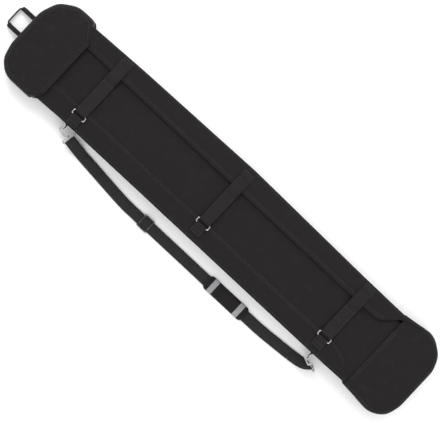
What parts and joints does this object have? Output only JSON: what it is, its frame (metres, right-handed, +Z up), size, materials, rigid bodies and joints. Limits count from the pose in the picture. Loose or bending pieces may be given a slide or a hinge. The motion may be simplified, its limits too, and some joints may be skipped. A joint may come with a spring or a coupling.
{
  "type": "soft carrying case",
  "caption": "Long flat padded soft case for rolled drawings, with end hoods, a strapped wrap cover, a grab loop and a clip-on shoulder strap.",
  "frame": {"origin": "on the floor under the middle of the case, lying on its back", "axes": "+X from the handle end to the tail end, +Y to the side the long flap is sewn on, +Z up out of the front cover"},
  "size_m": [1.7192, 0.3831, 0.0753],
  "materials": {
    "outer_fabric": "matt woven black fabric",
    "foam": "closed foam",
    "lining": "smooth lining",
    "webbing": "ribbed webbing",
    "hook_and_loop": "hook and loop tape",
    "binding": "edge tape",
    "pad_fabric": "padded fabric",
    "plated_metal": "nickel plated",
    "slider_metal": "black enamel, worn bright on the bars"
  },
  "bodies": {
    "case": {"back_foam": "foam", "back_lining": "lining", "back_panel": "outer_fabric", "cover_foam": "foam", "cover_lining": "lining", "cross_strap_1": "webbing", "cross_strap_2": "webbing", "cross_strap_3": "webbing", "d_ring_left": "plated_metal", "d_ring_right": "plated_metal", "d_ring_tab_left": "webbing", "d_ring_tab_right": "webbing", "far_wall": "outer_fabric", "flap_binding": "binding", "flap_foam": "foam", "long_flap": "outer_fabric", "loop_anchor": "webbing", "loop_patches": "hook_and_loop", "near_band": "outer_fabric", "near_cover": "outer_fabric", "near_wall": "outer_fabric", "nose_binding": "binding", "nose_tray": "outer_fabric", "ring_tab_1": "webbing", "ring_tab_2": "webbing", "ring_tab_3": "webbing", "strap_ring_1": "plated_metal", "strap_ring_2": "plated_metal", "strap_ring_3": "plated_metal", "tail_binding": "binding", "tail_hem": "binding", "tail_hood": "outer_fabric"},
    "nose_lid": {"nose_hood": "outer_fabric", "nose_hood_lining": "lining", "nose_hem": "binding"},
    "loop_swing": {"grab_loop": "webbing"},
    "tail_peel_1": {"strap_tail_1": "webbing", "hook_patch_1": "hook_and_loop"},
    "tail_peel_2": {"strap_tail_2": "webbing", "hook_patch_2": "hook_and_loop"},
    "tail_peel_3": {"strap_tail_3": "webbing", "hook_patch_3": "hook_and_loop"},
    "shoulder": {"shoulder_strap": "webbing", "strap_return": "webbing", "strap_loop_left": "webbing", "strap_loop_right": "webbing", "hook_eye_left": "plated_metal", "hook_eye_right": "plated_metal", "snap_hook_left": "plated_metal", "snap_hook_right": "plated_metal", "gate_pins": "plated_metal", "swivel_rivets": "plated_metal"},
    "left_gate": {"hook_gate_left": "plated_metal"},
    "right_gate": {"hook_gate_right": "plated_metal"},
    "slider_run": {"slider": "slider_metal"},
    "pad": {"pad_base": "pad_fabric", "pad_cover": "pad_fabric", "pad_keepers": "webbing"}
  },
  "joints": [
    {"name": "nose_lid_hinge", "type": "hinge", "parent": "case", "child": "nose_lid", "pos_m": [-0.829, 0, 0.03815], "axis": [0, -1, 0], "range_deg": [0, 70]},
    {"name": "grab_loop_lift", "type": "hinge", "parent": "case", "child": "loop_swing", "pos_m": [-0.829, 0, 0.024], "axis": [0, 1, 0], "range_deg": [0, 45]},
    {"name": "strap_peel_1", "type": "hinge", "parent": "case", "child": "tail_peel_1", "pos_m": [0, -0.091, 0.0655], "axis": [1, 0, 0], "range_deg": [0, 100]},
    {"name": "strap_peel_2", "type": "hinge", "parent": "case", "child": "tail_peel_2", "pos_m": [0, -0.074, 0.0655], "axis": [1, 0, 0], "range_deg": [0, 100]},
    {"name": "strap_peel_3", "type": "hinge", "parent": "case", "child": "tail_peel_3", "pos_m": [0, -0.074, 0.0655], "axis": [1, 0, 0], "range_deg": [0, 100]},
    {"name": "shoulder_strap_swing", "type": "hinge", "parent": "case", "child": "shoulder", "pos_m": [0, -0.1645, 0.025], "axis": [-1, 0, 0], "range_deg": [0, 40]},
    {"name": "left_gate_press", "type": "hinge", "parent": "shoulder", "child": "left_gate", "pos_m": [-0.51806, -0.17648, 0.025], "axis": [0, 0, -1], "range_deg": [0, 8], "stiffness_Nm_per_rad": 0.02, "springref_deg": -17.19},
    {"name": "right_gate_press", "type": "hinge", "parent": "shoulder", "child": "right_gate", "pos_m": [0.52749, -0.17876, 0.025], "axis": [0, 0, -1], "range_deg": [0, 8], "stiffness_Nm_per_rad": 0.02, "springref_deg": -17.19},
    {"name": "slider_slide", "type": "slide", "parent": "shoulder", "child": "slider_run", "axis": [1, 0, 0], "range_m": [0, 0.12]},
    {"name": "pad_slide", "type": "slide", "parent": "shoulder", "child": "pad", "axis": [1, 0, 0], "range_m": [-0.09, 0.04]}
  ]
}
